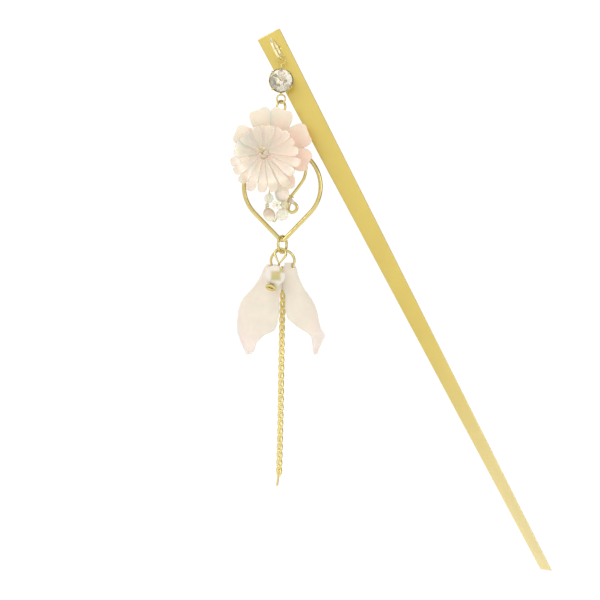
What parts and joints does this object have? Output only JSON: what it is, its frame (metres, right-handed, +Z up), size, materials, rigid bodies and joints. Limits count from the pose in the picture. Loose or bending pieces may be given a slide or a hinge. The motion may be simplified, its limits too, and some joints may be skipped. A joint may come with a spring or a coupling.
{
  "type": "kanzashi hair stick with a hanging flower drop",
  "caption": "Flat tapering gold-coloured hair stick whose loop carries a long drop: stone in claws, wire frame with acrylic flowers and beads, frosted petals, pearl and fine chain.",
  "frame": {"origin": "on the stick's centreline, where the hair grips it, 100 mm from its wide end", "axes": "+Z up, +X to the right as the viewer sees it, +Y away from the viewer, square to the stick's flat face"},
  "size_m": [0.0931, 0.0153, 0.1572],
  "materials": {
    "gold": "satin gold plating, brushed lengthways on the flat bar",
    "stone": "clear, faceted, with a silver foil back",
    "clear_acrylic": "clear, glossy",
    "pink_acrylic": "frosted pale pink",
    "petal_acrylic": "frosted ivory, a little pink at the edge",
    "bead_glass": "pale clear glass",
    "bead_acrylic": "pale mauve, half clear",
    "ivory": "pale ivory knobs",
    "pearl": "white nacre"
  },
  "bodies": {
    "stick": {"stick": "gold"},
    "drop": {"stone_setting": "gold", "rhinestone": "stone", "jump_ring_top": "gold", "scroll_frame": "gold", "pink_flower": "pink_acrylic", "clear_flower": "clear_acrylic", "stamens": "ivory", "binding_wire": "gold", "bead_top": "bead_glass", "bead_left": "bead_glass", "bead_mauve": "bead_acrylic", "bead_pale": "bead_glass", "bead_right": "bead_glass", "bead_seed": "bead_glass", "bead_small": "bead_acrylic", "pink_bud": "pink_acrylic", "jump_ring_lower": "gold", "jump_ring_petals": "gold", "petal_drop_left": "petal_acrylic", "petal_drop_right": "petal_acrylic", "pearl": "pearl", "pearl_pin": "gold", "chain": "gold"}
  },
  "joints": [
    {"name": "drop_swing", "type": "hinge", "parent": "stick", "child": "drop", "pos_m": [-0.04238, -0.00408, 0.08165], "axis": [0, 1, 0], "range_deg": [-75, 75]}
  ]
}
